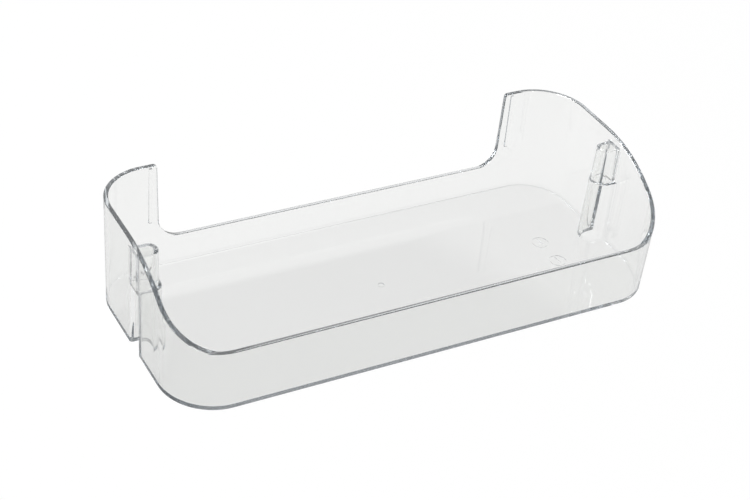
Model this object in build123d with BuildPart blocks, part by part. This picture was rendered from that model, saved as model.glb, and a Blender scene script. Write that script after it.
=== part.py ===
from build123d import *
from math import atan2, cos, degrees, radians, sin, sqrt, tan
import os

# Tray, in millimetres: X runs along the door, Y from the room to the door, Z up
length = 350.0
depth = 150.0
front_height = 44.0
back_height = 23.0
ear_height = 80.0
front_corner_radius = 35.0
back_corner_radius = 33.5
draft = 1.2

# Wall sections
wall = 3.0
floor = 2.0
floor_fillet = 0.2
edge_break = 0.4

# Rim of the ends, seen along X: a shoulder, a slope and a toe behind the low front
slope_run = 57.6
shoulder_radius = 90.0
toe_radius = 3.0
toe_land = 0.5

# Low back between the two ears
cutout_width = 257.0
cutout_lean = 2.0
cutout_radius = 15.0
ear_corner_radius = 2.5

# Hanger pocket in each end: a groove open below and outwards, with a narrow blind pocket above it
pocket_inset = 8.0
pocket_shift = -1.5
pocket_lower_radius = 6.7
pocket_upper_radius = 4.7
pocket_tip_step = 1.1
pocket_back_step = 0.5
pocket_step = 47.0
pocket_cover = 4.4
pocket_front_mouth = 1.5
pocket_back_mouth = 2.0
pocket_front_root = 0.8
pocket_back_root = 2.0
pocket_cap_radius = 1.0
post_cap_radius = 2.4
post_ledge_radius = 1.0

# Small upright rib on the inside of each ear
rib_width = 2.0
rib_depth = 1.2
rib_edge_gap = 4.0
rib_bottom = 37.5
rib_top_gap = 1.2

# Moulding marks: two date rings in the floor and the gate under it
ring_diameter = 12.0
ring_line = 0.7
ring_x = 127.0
ring_y = 2.4
ring_spacing = 22.7
arrow_length = 7.0
arrow_width = 2.4
mark_depth = 0.3
gate_diameter = 4.5
gate_depth = 0.5

# Sizes that follow from the ones above
draft_slope = tan(radians(draft))
lean_slope = tan(radians(cutout_lean))
trim = 2 * wall
block_height = ear_height + trim
hollow_offset = floor * draft_slope - wall
front_inner_y = wall - depth / 2 - front_height * draft_slope
back_inner_y = depth / 2 - wall
rim_slope = degrees(atan2(ear_height - front_height, slope_run))
toe_y = front_inner_y + toe_land + toe_radius * tan(radians(rim_slope / 2))
shoulder_y = toe_y + slope_run
shoulder_centre_y = shoulder_y + shoulder_radius * tan(radians(rim_slope / 2))
cutout_top_width = cutout_width + 2 * (block_height - back_height) * lean_slope
ear_edge_x = cutout_width / 2 + (ear_height - back_height) * lean_slope
rib_x = ear_edge_x + rib_edge_gap + rib_width / 2
rib_length = ear_height - rib_top_gap - rib_bottom
ring_places = ((ring_x, ring_y), (ring_x, ring_y - ring_spacing))

# The narrow upper part of a pocket steps back from the wide lower part, most of all at the front
radius_step = pocket_lower_radius - pocket_upper_radius
upper_inset = pocket_inset + radius_step - pocket_tip_step
upper_shift = pocket_shift + radius_step - pocket_back_step
pocket_front_y = pocket_shift - pocket_lower_radius - wall
rim_drop = shoulder_radius - sqrt(shoulder_radius**2 - (shoulder_centre_y - pocket_front_y) ** 2)
pocket_top = ear_height - rim_drop - pocket_cover
pocket_half_width = 2 * pocket_lower_radius + trim
blind_radius = pocket_upper_radius - pocket_step * draft_slope
blind_depth = upper_inset + pocket_step * draft_slope - wall


def along_rim(edge):
    """Whether an edge runs along the rim, not down a wall and not across the rim's width."""
    return edge.bounding_box().min.Z > floor + floor_fillet and abs(edge.length - wall) > edge_break


def groove_plan(inset, shift, radius, inward, front_round, back_round):
    """Plan of a half-round groove on the right, with a round on each side of its opening."""
    face_x = length / 2 - inward
    with BuildSketch() as plan:
        with Locations((length / 2 - inset, shift)):
            Circle(radius + inward)
            Rectangle(inset, 2 * (radius + inward), align=(Align.MIN, Align.CENTER))
        with Locations((face_x, shift)):
            Rectangle(2 * trim, 2 * pocket_half_width, align=(Align.MIN, Align.CENTER))
        fillet(plan.vertices().filter_by_position(Axis.X, face_x, face_x).sort_by(Axis.Y)[-2], back_round)
        fillet(plan.vertices().filter_by_position(Axis.X, face_x, face_x).sort_by(Axis.Y)[1], front_round)
    return plan.sketch


def post(inset, shift, radius, height, top_radius):
    """One drafted half-round post on the right, with a round along its top edge."""
    with BuildPart() as column:
        add(groove_plan(inset, shift, radius, wall, pocket_front_root, pocket_back_root))
        extrude(amount=height, taper=draft)
        fillet(column.faces().sort_by(Axis.Z)[-1].edges(), top_radius)
    return column.part


# Stepped posts that stand round the pockets, as solids
with BuildPart() as posts:
    add(post(pocket_inset, pocket_shift, pocket_lower_radius, pocket_step + floor, post_ledge_radius))
    add(post(upper_inset, upper_shift, pocket_upper_radius, pocket_top + floor, post_cap_radius))
    mirror(about=Plane.YZ)

# The pockets themselves as solids: the open groove, then the blind pocket that leaves the end face whole
with BuildPart() as pockets:
    mouths = (pocket_front_mouth, pocket_back_mouth)
    add(groove_plan(pocket_inset, pocket_shift, pocket_lower_radius, 0, *mouths))
    extrude(amount=pocket_step, taper=draft)
    with BuildSketch(Plane.XY.offset(pocket_step)):
        with Locations((length / 2 - upper_inset, upper_shift)):
            Circle(blind_radius)
            Rectangle(blind_depth, 2 * blind_radius, align=(Align.MIN, Align.CENTER))
    extrude(amount=pocket_top - pocket_step, taper=draft)
    fillet(pockets.faces().sort_by(Axis.Z)[-1].edges(), pocket_cap_radius)
    mirror(about=Plane.YZ)

# Hollow of the tray as a solid, with the two pockets standing into it
with BuildPart() as hollow:
    with BuildSketch(Plane.XY.offset(floor)) as hollow_plan:
        Rectangle(length + 2 * hollow_offset, depth + 2 * hollow_offset)
        fillet(hollow_plan.vertices().group_by(Axis.Y)[0], front_corner_radius + hollow_offset)
        fillet(hollow_plan.vertices().group_by(Axis.Y)[-1], back_corner_radius + hollow_offset)
    extrude(amount=block_height, taper=-draft)
    fillet(hollow.faces().sort_by(Axis.Z)[0].edges(), floor_fillet)
    add(posts.part, mode=Mode.SUBTRACT)

# Everything above the rim as a solid
with BuildPart() as headroom:
    with BuildSketch(Plane.YZ) as rim_profile:
        with BuildLine():
            Polyline(
                (-depth, block_height),
                (-depth, front_height),
                (toe_y, front_height),
                (shoulder_y, ear_height),
                (depth, ear_height),
                (depth, block_height),
                close=True,
            )
        make_face()
        fillet(rim_profile.vertices().sort_by(Axis.X)[2], toe_radius)
        fillet(rim_profile.vertices().sort_by(Axis.X)[-3], shoulder_radius)
    extrude(amount=length, both=True)
    with BuildSketch(Plane.XZ.offset(-depth / 4)) as cutout:
        with BuildLine():
            Polyline(
                (-cutout_width / 2, back_height),
                (cutout_width / 2, back_height),
                (cutout_top_width / 2, block_height),
                (-cutout_top_width / 2, block_height),
                close=True,
            )
        make_face()
        fillet(cutout.vertices().group_by(Axis.Y)[0], cutout_radius)
    extrude(amount=-depth)
    ear_corners = headroom.edges().filter_by(Axis.Y).filter_by_position(Axis.Z, ear_height, ear_height)
    fillet(ear_corners, ear_corner_radius)

with BuildPart() as shelf:
    # Drafted block, hollowed out from above and cored for the pockets from below
    with BuildSketch() as plan:
        Rectangle(length, depth)
        fillet(plan.vertices().group_by(Axis.Y)[0], front_corner_radius)
        fillet(plan.vertices().group_by(Axis.Y)[-1], back_corner_radius)
    extrude(amount=block_height, taper=-draft)
    add(hollow.part, mode=Mode.SUBTRACT)
    add(pockets.part, mode=Mode.SUBTRACT)

    # Rim, with its edges broken
    add(headroom.part, mode=Mode.SUBTRACT)
    chamfer(shelf.edges(Select.LAST).filter_by(along_rim), edge_break)

    # Ribs on the drafted inner face of the ears
    ear_face = Plane(
        origin=(0, back_inner_y, 0),
        x_dir=(1, 0, 0),
        z_dir=(0, -cos(radians(draft)), sin(radians(draft))),
    )
    with BuildSketch(ear_face):
        with Locations((rib_x, rib_bottom), (-rib_x, rib_bottom)):
            Rectangle(rib_width, rib_length, align=(Align.CENTER, Align.MIN))
    extrude(amount=rib_depth)

    # Date rings with their arrows, sunk in the floor
    with BuildSketch(Plane.XY.offset(floor)):
        with Locations(*ring_places):
            Circle(ring_diameter / 2)
            Circle(ring_diameter / 2 - ring_line, mode=Mode.SUBTRACT)
            Triangle(a=arrow_width, b=arrow_length, c=arrow_length)
    extrude(amount=-mark_depth, mode=Mode.SUBTRACT)

    # Gate dimple under the floor, then the foot edge
    with BuildSketch():
        Circle(gate_diameter / 2)
    extrude(amount=gate_depth, mode=Mode.SUBTRACT)
    chamfer(shelf.faces().sort_by(Axis.Z)[0].outer_wire().edges(), edge_break)

os.makedirs("parts", exist_ok=True)
shelf.part.label = "door_shelf"
export_step(shelf.part, "parts/door_shelf.step")
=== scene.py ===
from math import cos, radians, sin

import bmesh
import bpy
from mathutils import Matrix, Vector


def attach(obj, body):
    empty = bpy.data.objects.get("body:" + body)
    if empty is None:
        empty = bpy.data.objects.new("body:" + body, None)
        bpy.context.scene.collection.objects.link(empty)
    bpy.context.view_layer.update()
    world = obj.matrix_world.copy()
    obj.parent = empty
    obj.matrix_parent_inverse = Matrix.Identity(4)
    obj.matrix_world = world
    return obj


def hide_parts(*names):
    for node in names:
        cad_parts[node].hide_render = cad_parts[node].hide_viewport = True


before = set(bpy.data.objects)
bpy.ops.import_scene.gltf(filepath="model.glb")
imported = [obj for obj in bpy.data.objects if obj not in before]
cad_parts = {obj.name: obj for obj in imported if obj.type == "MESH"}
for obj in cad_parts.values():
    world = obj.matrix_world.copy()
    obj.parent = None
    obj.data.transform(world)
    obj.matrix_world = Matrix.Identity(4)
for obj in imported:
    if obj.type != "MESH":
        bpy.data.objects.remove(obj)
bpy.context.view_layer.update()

# Camera, in metres and degrees, as it stood for the photograph
CAMERA_AIM = Vector((0.00128, 0.01477, 0.01957))
CAMERA_DISTANCE = 1.1508
CAMERA_AZIMUTH = -31.54
CAMERA_ELEVATION = 35.53
CAMERA_ROLL = 6.30
CAMERA_LENS_MM = 83.19
SENSOR_WIDTH_MM = 36.0

# Skin of the tray: corners that count as one, and the angles up to which facets are smooth or flat
MERGE_DISTANCE = 2e-6
SMOOTH_ANGLE = radians(30)
FLAT_ANGLE = radians(0.1)

# Clear styrene: its surface, the tint in its thickness and the shadow that it throws
STYRENE_COLOUR = (0.985, 0.988, 0.98, 1)
STYRENE_IOR = 1.57
STYRENE_CLEAR = 0.997
TINT_COLOUR = (0.0, 0.12, 0.25, 1)
TINT_DENSITY = 3.0
SHADOW_COLOUR = (0.85, 0.87, 0.87, 1)

# Mould finish: a fine haze in patches, and faint waves that run up the walls
HAZE_SCALE = 45.0
HAZE_DETAIL = 3.0
HAZE_EDGE = (0.3, 0.7)
HAZE_ROUGHNESS = (0.012, 0.035)
WAVE_SCALE = (60.0, 60.0, 5.0)
WAVE_HEIGHT = 2e-5

# Table top
FLOOR_SIZE = 6.0
FLOOR_DROP = 0.0003
FLOOR_COLOUR = (0.9, 0.9, 0.9, 1)
FLOOR_ROUGHNESS = 0.9
TABLE_GLOW = 0.98

# Outline of the tray's foot on the table, and the width over which the painted shade on the table changes
# there
FOOT_HALF = (0.175, 0.075)
FOOT_RADIUS = 0.035
FOOT_SOFT = 0.003

# Painted shade on the table seen through the tray: its level beside the tray, front and back, and the
# painted shadow level under it
BESIDE_PAINTED_SHADE = (0.84, 0.93)
BESIDE_EDGE = (-0.06, 0.12)
UNDER_PAINTED_SHADOW = 0.83

# Painted light on the table under the tray: lighter along the back, and across the right end on a slant
BACK_PAINTED_LIGHT = 0.085
BACK_EDGE = (0.034, 0.043)
END_PAINTED_LIGHT = 0.06
END_EDGE = (0.05, 0.10)
END_SLANT = 0.5

# Painted light and shade on the table under the foot of the walls: lighter on short ways through the
# plastic, darker on long ones
FOOT_WALL = (-0.0036, -0.0028)
FOOT_RUN = (4.0, 4.9)
FOOT_PAINTED_LIGHT = 0.12
FOOT_LIGHT_EDGE = (-0.06, 0.06)
LEFT_FOOT_PAINTED_SHADE = 0.8
LEFT_FOOT_EDGE = (-0.125, -0.10)
RIGHT_FOOT_PAINTED_SHADE = 0.6
RIGHT_FOOT_EDGE = (0.155, 0.168)
FRONT_FOOT_PAINTED_SHADE = 0.6
FRONT_FOOT_EDGE = (-0.06, -0.05)

# Painted shade on the table mirrored in the walls: its level from left to right, and the least level
# behind the front
MIRRORED_PAINTED_SHADE = (0.35, 0.72)
MIRRORED_EDGE = (-0.25, 0.15)
BEHIND_PAINTED_SHADE = 0.62
BEHIND_EDGE = (-0.06, -0.02)

# Turns inside the plastic after which the table's glow is painted darker, and those that halve it
LONG_RUN = 12.0
RUN_FADE = 16.0

# Room mirrored in the plastic: front, back and top, and the height at which the white sweep ends
ROOM_FRONT = 0.35
ROOM_BACK = 1.0
ROOM_TOP = 0.5
SWEEP_EDGE = (0.30, 0.52)

# Lamp, and the turns that light may take inside the plastic
KEY_PLACE = Vector((-0.9, 0.3, 1.6))
KEY_WIDTH = 1.0
KEY_WATTS = 32
LIGHT_TURNS = 128


def flat_patches(skin):
    """Give each facet the normal of its flat patch, as long as the square of the patch's area."""
    leaning = {}
    for seed in skin.faces:
        if seed in leaning:
            continue
        patch = [seed]
        leaning[seed] = None
        for face in patch:
            for edge in face.edges:
                if edge.calc_face_angle() > FLAT_ANGLE:
                    continue
                for other in edge.link_faces:
                    if other not in leaning:
                        leaning[other] = None
                        patch.append(other)
        area = sum(face.calc_area() for face in patch)
        lean = sum((face.normal * face.calc_area() for face in patch), Vector())
        for face in patch:
            leaning[face] = lean.normalized() * area**2
    return leaning


def wall_normals(skin):
    """Normal of every corner: exact on flat walls, and blended over the facets of a round edge."""
    leaning = flat_patches(skin)
    normals = []
    for face in skin.faces:
        for corner in face.loops:
            fan = [face]
            for member in fan:
                for edge in member.edges:
                    if corner.vert in edge.verts and edge.smooth:
                        fan.extend(other for other in edge.link_faces if other not in fan)
            leans = {leaning[member].to_tuple(): leaning[member] for member in fan}
            normals.append(sum(leans.values(), Vector()).normalized())
    return normals


def clear_shell():
    """The tray as one closed skin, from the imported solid, with its round edges shaded smooth."""
    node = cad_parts["door_shelf"]
    skin = bmesh.new()
    skin.from_mesh(node.data)
    bmesh.ops.remove_doubles(skin, verts=skin.verts, dist=MERGE_DISTANCE)
    for edge in skin.edges:
        edge.smooth = edge.calc_face_angle() < SMOOTH_ANGLE
    for face in skin.faces:
        face.smooth = True
    normals = wall_normals(skin)
    mesh = bpy.data.meshes.new("clear_shell")
    skin.to_mesh(mesh)
    skin.free()
    mesh.normals_split_custom_set(normals)
    shell = bpy.data.objects.new("clear_shell", mesh)
    bpy.context.scene.collection.objects.link(shell)
    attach(shell, "root")
    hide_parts("door_shelf")
    return shell


def math_node(tree, operation, first, second):
    """One sum in a material: its two terms are numbers or other outputs."""
    node = tree.nodes.new("ShaderNodeMath")
    node.operation = operation
    for socket, term in zip(node.inputs, (first, second)):
        if isinstance(term, float):
            socket.default_value = term
        else:
            tree.links.new(term, socket)
    return node.outputs[0]


def step_node(tree, value, edge, levels):
    """A soft step in a material, from one level to another as the value passes an edge."""
    node = tree.nodes.new("ShaderNodeMapRange")
    node.interpolation_type = "SMOOTHSTEP"
    for socket, number in zip(("From Min", "From Max", "To Min", "To Max"), (*edge, *levels)):
        node.inputs[socket].default_value = number
    tree.links.new(value, node.inputs["Value"])
    return node.outputs["Result"]


def mould_finish(tree, plastic):
    """Surface from a polished mould: a haze that comes and goes, and waves stretched up the walls."""
    nodes = tree.nodes
    place = nodes.new("ShaderNodeTexCoord")
    haze = nodes.new("ShaderNodeTexNoise")
    haze.inputs["Scale"].default_value = HAZE_SCALE
    haze.inputs["Detail"].default_value = HAZE_DETAIL
    tree.links.new(place.outputs["Object"], haze.inputs["Vector"])
    roughness = step_node(tree, haze.outputs["Fac"], HAZE_EDGE, HAZE_ROUGHNESS)
    tree.links.new(roughness, plastic.inputs["Roughness"])
    stretch = nodes.new("ShaderNodeMapping")
    stretch.inputs["Scale"].default_value = WAVE_SCALE
    tree.links.new(place.outputs["Object"], stretch.inputs["Vector"])
    wave = nodes.new("ShaderNodeTexNoise")
    wave.inputs["Scale"].default_value = 1.0
    wave.inputs["Detail"].default_value = 0.0
    tree.links.new(stretch.outputs["Vector"], wave.inputs["Vector"])
    bump = nodes.new("ShaderNodeBump")
    bump.inputs["Distance"].default_value = WAVE_HEIGHT
    tree.links.new(wave.outputs["Fac"], bump.inputs["Height"])
    tree.links.new(bump.outputs["Normal"], plastic.inputs["Normal"])


def clear_plastic():
    """Clear styrene: see-through, polished, with a cool tint that shows in the thick of the walls."""
    material = bpy.data.materials.new("clear_plastic")
    material.use_nodes = True
    tree = material.node_tree
    nodes = tree.nodes
    links = tree.links
    plastic = nodes["Principled BSDF"]
    plastic.inputs["Base Color"].default_value = STYRENE_COLOUR
    plastic.inputs["IOR"].default_value = STYRENE_IOR
    plastic.inputs["Transmission Weight"].default_value = STYRENE_CLEAR
    mould_finish(tree, plastic)
    tint = nodes.new("ShaderNodeVolumeAbsorption")
    tint.inputs["Color"].default_value = TINT_COLOUR
    tint.inputs["Density"].default_value = TINT_DENSITY
    links.new(tint.outputs["Volume"], nodes["Material Output"].inputs["Volume"])
    path = nodes.new("ShaderNodeLightPath")
    shadow = nodes.new("ShaderNodeBsdfTransparent")
    shadow.inputs["Color"].default_value = SHADOW_COLOUR
    mix = nodes.new("ShaderNodeMixShader")
    links.new(path.outputs["Is Shadow Ray"], mix.inputs["Fac"])
    links.new(plastic.outputs["BSDF"], mix.inputs[1])
    links.new(shadow.outputs["BSDF"], mix.inputs[2])
    links.new(mix.outputs["Shader"], nodes["Material Output"].inputs["Surface"])
    return material


def foot_distance(tree, axes):
    """Distance of a point of the table from the rounded outline of the tray's foot, negative inside."""
    runs = []
    for axis, half in zip("XY", FOOT_HALF):
        run = math_node(tree, "ABSOLUTE", axes.outputs[axis], 0.0)
        runs.append(math_node(tree, "SUBTRACT", run, half - FOOT_RADIUS))
    beyond = [math_node(tree, "MAXIMUM", run, 0.0) for run in runs]
    squares = [math_node(tree, "MULTIPLY", run, run) for run in beyond]
    corner = math_node(tree, "SQRT", math_node(tree, "ADD", *squares), 0.0)
    within = math_node(tree, "MINIMUM", math_node(tree, "MAXIMUM", *runs), 0.0)
    return math_node(tree, "SUBTRACT", math_node(tree, "ADD", corner, within), FOOT_RADIUS)


def painted_floor_shadow_and_light(tree, axes):
    """Painted shadow on the table under the tray's floor, with painted light along the back and at the
    right end.
    """
    back_light = step_node(tree, axes.outputs["Y"], BACK_EDGE, (0.0, BACK_PAINTED_LIGHT))
    slant = math_node(tree, "MULTIPLY", axes.outputs["Y"], END_SLANT)
    slant = math_node(tree, "ADD", slant, axes.outputs["X"])
    end_light = step_node(tree, slant, END_EDGE, (0.0, END_PAINTED_LIGHT))
    return math_node(tree, "ADD", math_node(tree, "MAXIMUM", back_light, end_light), UNDER_PAINTED_SHADOW)


def painted_foot_light_and_shade(tree, axes, depth):
    """Painted light and shade on the table under the foot of the walls, by the turns that the light has
    taken.
    """
    painted_light = step_node(tree, axes.outputs["X"], FOOT_LIGHT_EDGE, (FOOT_PAINTED_LIGHT, 0.0))
    painted_light = math_node(tree, "MULTIPLY", painted_light, step_node(tree, depth, FOOT_RUN, (1.0, 0.0)))
    left = step_node(tree, axes.outputs["X"], LEFT_FOOT_EDGE, (LEFT_FOOT_PAINTED_SHADE, 0.0))
    front = step_node(tree, axes.outputs["Y"], FRONT_FOOT_EDGE, (FRONT_FOOT_PAINTED_SHADE, 0.0))
    right = step_node(tree, axes.outputs["X"], RIGHT_FOOT_EDGE, (0.0, RIGHT_FOOT_PAINTED_SHADE))
    painted_shade = math_node(tree, "MAXIMUM", math_node(tree, "MAXIMUM", left, right), front)
    painted_shade = math_node(tree, "MULTIPLY", painted_shade, step_node(tree, depth, FOOT_RUN, (0.0, 1.0)))
    return math_node(tree, "SUBTRACT", painted_light, painted_shade)


def tray_shade(tree, axes, depth):
    """Painted shade of the table seen through the tray: beside it, under its floor and under its walls."""
    outside = foot_distance(tree, axes)
    beside = step_node(tree, axes.outputs["Y"], BESIDE_EDGE, BESIDE_PAINTED_SHADE)
    at_wall = step_node(tree, outside, FOOT_WALL, (0.0, 1.0))
    change = math_node(tree, "MULTIPLY", painted_foot_light_and_shade(tree, axes, depth), at_wall)
    change = math_node(tree, "ADD", change, 1.0)
    under = math_node(tree, "MULTIPLY", painted_floor_shadow_and_light(tree, axes), change)
    rise = math_node(tree, "SUBTRACT", beside, under)
    rise = math_node(tree, "MULTIPLY", rise, step_node(tree, outside, (0.0, FOOT_SOFT), (0.0, 1.0)))
    return math_node(tree, "ADD", under, rise)


def table_level(tree, path):
    """Level of the table's glow: white for the eye, and painted shade and light for what the tray lets
    through or mirrors.
    """
    place = tree.nodes.new("ShaderNodeTexCoord")
    axes = tree.nodes.new("ShaderNodeSeparateXYZ")
    tree.links.new(place.outputs["Object"], axes.inputs["Vector"])
    depth = path.outputs["Ray Depth"]
    run = math_node(tree, "SUBTRACT", depth, LONG_RUN)
    run = math_node(tree, "MAXIMUM", run, 0.0)
    run = math_node(tree, "MULTIPLY", run, -1.0 / RUN_FADE)
    fade = math_node(tree, "POWER", 2.0, run)
    through = math_node(tree, "MULTIPLY", fade, tray_shade(tree, axes, depth))
    # Table as the walls mirror it, in painted shade: darker to the left, lighter to the right and behind
    # the front
    mirrored = step_node(tree, axes.outputs["X"], MIRRORED_EDGE, MIRRORED_PAINTED_SHADE)
    behind = step_node(tree, axes.outputs["Y"], BEHIND_EDGE, (0.0, BEHIND_PAINTED_SHADE))
    mirrored = math_node(tree, "MAXIMUM", mirrored, behind)
    more = math_node(tree, "SUBTRACT", through, mirrored)
    more = math_node(tree, "MULTIPLY", more, path.outputs["Is Transmission Ray"])
    level = math_node(tree, "ADD", mirrored, more)
    return math_node(tree, "MAXIMUM", path.outputs["Is Camera Ray"], level)


def white_table():
    """White finish of the table: plain paint that keeps a faint shadow, under a glow that is only seen and
    holds painted shade.
    """
    material = bpy.data.materials.new("white_floor")
    material.use_nodes = True
    tree = material.node_tree
    nodes = tree.nodes
    links = tree.links
    paint = nodes["Principled BSDF"]
    paint.inputs["Base Color"].default_value = FLOOR_COLOUR
    paint.inputs["Roughness"].default_value = FLOOR_ROUGHNESS
    paint.inputs["Specular IOR Level"].default_value = 0.0
    glow = nodes.new("ShaderNodeEmission")
    path = nodes.new("ShaderNodeLightPath")
    links.new(table_level(tree, path), glow.inputs["Strength"])
    seen = math_node(tree, "MAXIMUM", path.outputs["Is Transmission Ray"], path.outputs["Is Glossy Ray"])
    seen = math_node(tree, "MAXIMUM", path.outputs["Is Camera Ray"], seen)
    seen = math_node(tree, "MULTIPLY", seen, TABLE_GLOW)
    mix = nodes.new("ShaderNodeMixShader")
    links.new(seen, mix.inputs["Fac"])
    links.new(paint.outputs["BSDF"], mix.inputs[1])
    links.new(glow.outputs["Emission"], mix.inputs[2])
    links.new(mix.outputs["Shader"], nodes["Material Output"].inputs["Surface"])
    return material


def white_floor():
    """Flat table top just under the tray."""
    table = bmesh.new()
    bmesh.ops.create_grid(table, x_segments=1, y_segments=1, size=FLOOR_SIZE / 2)
    bmesh.ops.translate(table, verts=table.verts, vec=(0, 0, -FLOOR_DROP))
    mesh = bpy.data.meshes.new("floor")
    table.to_mesh(mesh)
    table.free()
    floor = bpy.data.objects.new("floor", mesh)
    bpy.context.scene.collection.objects.link(floor)
    mesh.materials.append(white_table())


def studio_world():
    """White all round for the eye; the plastic mirrors a bright wall behind and a dim room in front."""
    world = bpy.data.worlds.new("studio")
    bpy.context.scene.world = world
    world.use_nodes = True
    tree = world.node_tree
    nodes = tree.nodes
    links = tree.links
    room = nodes["Background"]
    place = nodes.new("ShaderNodeTexCoord")
    axes = nodes.new("ShaderNodeSeparateXYZ")
    links.new(place.outputs["Generated"], axes.inputs["Vector"])
    depth = nodes.new("ShaderNodeMapRange")
    depth.inputs["From Min"].default_value = -1.0
    depth.inputs["From Max"].default_value = 1.0
    depth.inputs["To Min"].default_value = ROOM_FRONT
    depth.inputs["To Max"].default_value = ROOM_BACK
    links.new(axes.outputs["Y"], depth.inputs["Value"])
    height = step_node(tree, axes.outputs["Z"], SWEEP_EDGE, (1.0, ROOM_TOP))
    links.new(math_node(tree, "MULTIPLY", depth.outputs["Result"], height), room.inputs["Color"])
    white = nodes.new("ShaderNodeBackground")
    white.inputs["Color"].default_value = (1, 1, 1, 1)
    path = nodes.new("ShaderNodeLightPath")
    mix = nodes.new("ShaderNodeMixShader")
    links.new(path.outputs["Is Camera Ray"], mix.inputs["Fac"])
    links.new(room.outputs["Background"], mix.inputs[1])
    links.new(white.outputs["Background"], mix.inputs[2])
    links.new(mix.outputs["Shader"], nodes["World Output"].inputs["Surface"])


def key_softbox():
    """One square lamp up on the left, turned to the middle of the tray."""
    lamp = bpy.data.lights.new("key", "AREA")
    lamp.shape = "SQUARE"
    lamp.size = KEY_WIDTH
    lamp.energy = KEY_WATTS
    box = bpy.data.objects.new("key", lamp)
    box.location = KEY_PLACE
    box.rotation_euler = (-KEY_PLACE).to_track_quat("-Z", "Y").to_euler()
    bpy.context.scene.collection.objects.link(box)


def photo_camera():
    """The camera where it stood for the photograph, turned a little about its own line of sight."""
    azimuth = radians(CAMERA_AZIMUTH)
    elevation = radians(CAMERA_ELEVATION)
    roll = radians(CAMERA_ROLL)
    back = Vector((sin(azimuth) * cos(elevation), -cos(azimuth) * cos(elevation), sin(elevation)))
    level = Vector((cos(azimuth), sin(azimuth), 0))
    upright = back.cross(level)
    right = cos(roll) * level + sin(roll) * upright
    up = cos(roll) * upright - sin(roll) * level
    data = bpy.data.cameras.new("photo_camera")
    data.lens = CAMERA_LENS_MM
    data.sensor_width = SENSOR_WIDTH_MM
    camera = bpy.data.objects.new("photo_camera", data)
    turn = Matrix((right, up, back)).transposed().to_4x4()
    camera.matrix_world = Matrix.Translation(CAMERA_AIM + back * CAMERA_DISTANCE) @ turn
    bpy.context.scene.collection.objects.link(camera)
    bpy.context.scene.camera = camera


shell = clear_shell()
shell.data.materials.append(clear_plastic())
white_floor()
studio_world()
key_softbox()
photo_camera()
bpy.context.scene.view_settings.view_transform = "Standard"
cycles = bpy.context.scene.cycles
cycles.max_bounces = LIGHT_TURNS
cycles.transmission_bounces = LIGHT_TURNS
cycles.glossy_bounces = LIGHT_TURNS
